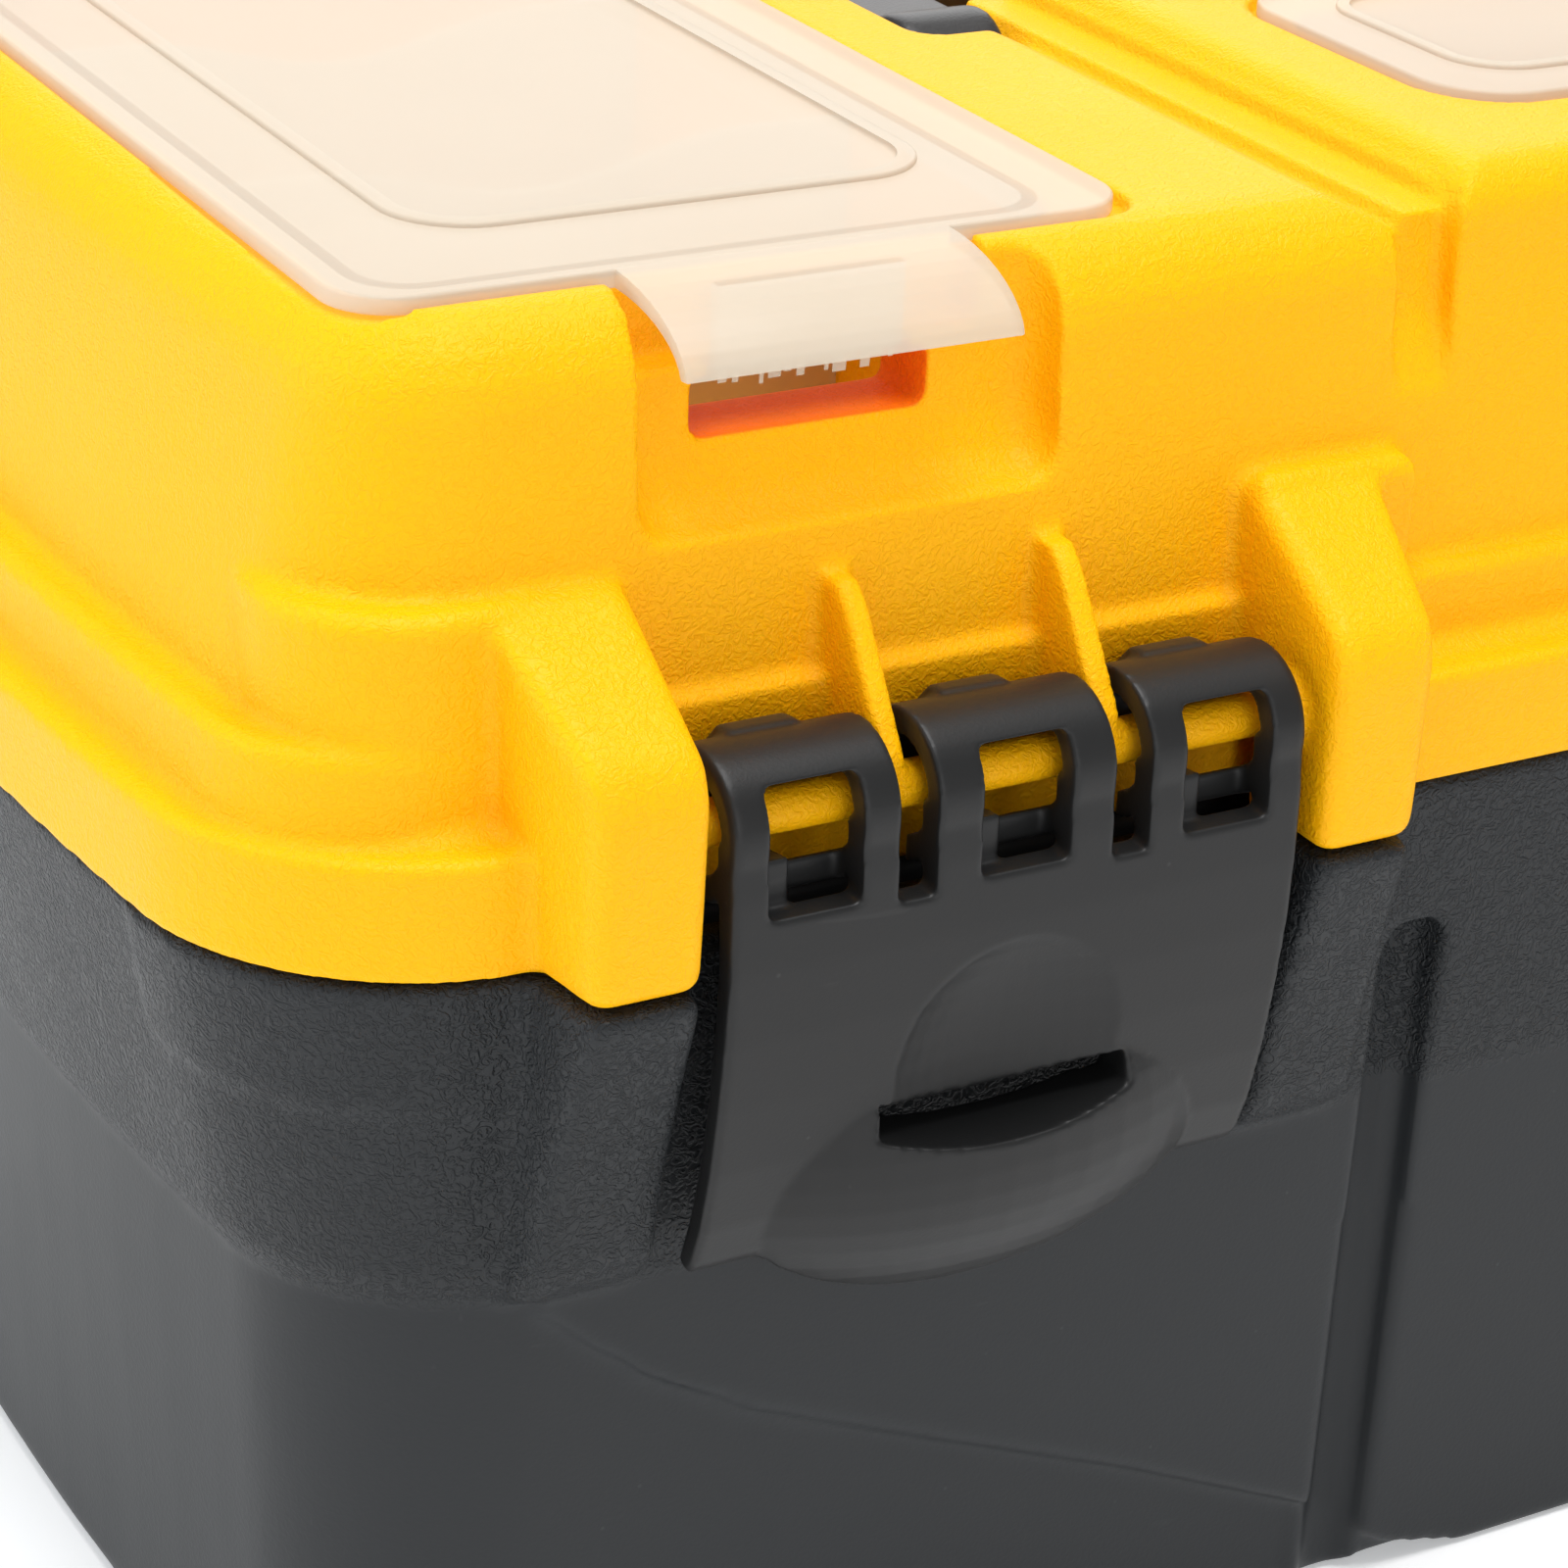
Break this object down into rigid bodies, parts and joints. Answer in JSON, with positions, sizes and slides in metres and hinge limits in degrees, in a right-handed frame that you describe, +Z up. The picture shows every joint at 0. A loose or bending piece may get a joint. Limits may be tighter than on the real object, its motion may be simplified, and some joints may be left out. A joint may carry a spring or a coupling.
{
  "type": "toolbox with tray",
  "caption": "Moulded plastic toolbox with hinged lid, flap latches, lift-out tray, folding handle and clear-lidded organiser bins in its lid.",
  "frame": {"origin": "middle of the outline at the table, under the base", "axes": "+X along the front to the right, -Y out of the front where the latches are, +Z up"},
  "size_m": [0.412, 0.2059, 0.1581],
  "materials": {
    "charcoal": "moulded polypropylene, leather-like grain on the upper band, fine grain below",
    "yellow": "moulded polypropylene, fine spark grain",
    "latch_black": "satin moulded plastic",
    "milky": "milky translucent polypropylene, glossy",
    "handle_black": "satin moulded plastic",
    "steel": "plain steel pin",
    "tray_grey": "moulded polypropylene, fine grain"
  },
  "bodies": {
    "base": {"base_shell": "charcoal", "hinge_pin_left": "steel", "hinge_pin_right": "steel"},
    "lid": {"lid_shell": "yellow", "handle_pin_left": "steel", "handle_pin_right": "steel", "end_divider_left_front": "milky", "end_divider_left_rear": "milky", "end_divider_right_front": "milky", "end_divider_right_rear": "milky", "centre_divider_front": "milky", "centre_divider_rear": "milky"},
    "latch_left": {"latch_left": "latch_black"},
    "latch_right": {"latch_right": "latch_black"},
    "end_lid_left": {"end_organiser_lid_left": "milky"},
    "end_lid_right": {"end_organiser_lid_right": "milky"},
    "centre_lid_front": {"centre_organiser_lid_front": "milky"},
    "centre_lid_rear": {"centre_organiser_lid_rear": "milky"},
    "handle": {"carry_handle": "handle_black"},
    "tray": {"tray": "tray_grey", "tray_handle": "handle_black", "tray_divider_1": "latch_black", "tray_divider_2": "latch_black", "tray_divider_3": "latch_black"}
  },
  "joints": [
    {"name": "lid_hinge", "type": "hinge", "parent": "base", "child": "lid", "pos_m": [0, 0.0975, 0.104], "axis": [-1, 0, 0], "range_deg": [0, 105]},
    {"name": "latch_left_hinge", "type": "hinge", "parent": "lid", "child": "latch_left", "pos_m": [-0.13, -0.092, 0.111], "axis": [-1, 0, 0], "range_deg": [0, 110]},
    {"name": "latch_right_hinge", "type": "hinge", "parent": "lid", "child": "latch_right", "pos_m": [0.13, -0.092, 0.111], "axis": [-1, 0, 0], "range_deg": [0, 110]},
    {"name": "end_lid_left_hinge", "type": "hinge", "parent": "lid", "child": "end_lid_left", "pos_m": [-0.1442, 0.0713, 0.1551], "axis": [-1, 0, 0], "range_deg": [0, 100]},
    {"name": "end_lid_right_hinge", "type": "hinge", "parent": "lid", "child": "end_lid_right", "pos_m": [0.1442, 0.0713, 0.1551], "axis": [-1, 0, 0], "range_deg": [0, 100]},
    {"name": "centre_lid_front_hinge", "type": "hinge", "parent": "lid", "child": "centre_lid_front", "pos_m": [0, -0.019, 0.1576], "axis": [-1, 0, 0], "range_deg": [0, 95]},
    {"name": "centre_lid_rear_hinge", "type": "hinge", "parent": "lid", "child": "centre_lid_rear", "pos_m": [0, 0.0465, 0.1576], "axis": [1, 0, 0], "range_deg": [0, 95]},
    {"name": "handle_fold", "type": "hinge", "parent": "lid", "child": "handle", "pos_m": [0, -0.004, 0.147], "axis": [1, 0, 0], "range_deg": [0, 90]},
    {"name": "tray_lift", "type": "slide", "parent": "base", "child": "tray", "axis": [0, 0, 1], "range_m": [0, 0.0735]}
  ],
  "couplings": [
    {"joint": "tray_lift", "follows": "lid_hinge", "m_per_rad": 0.04}
  ]
}
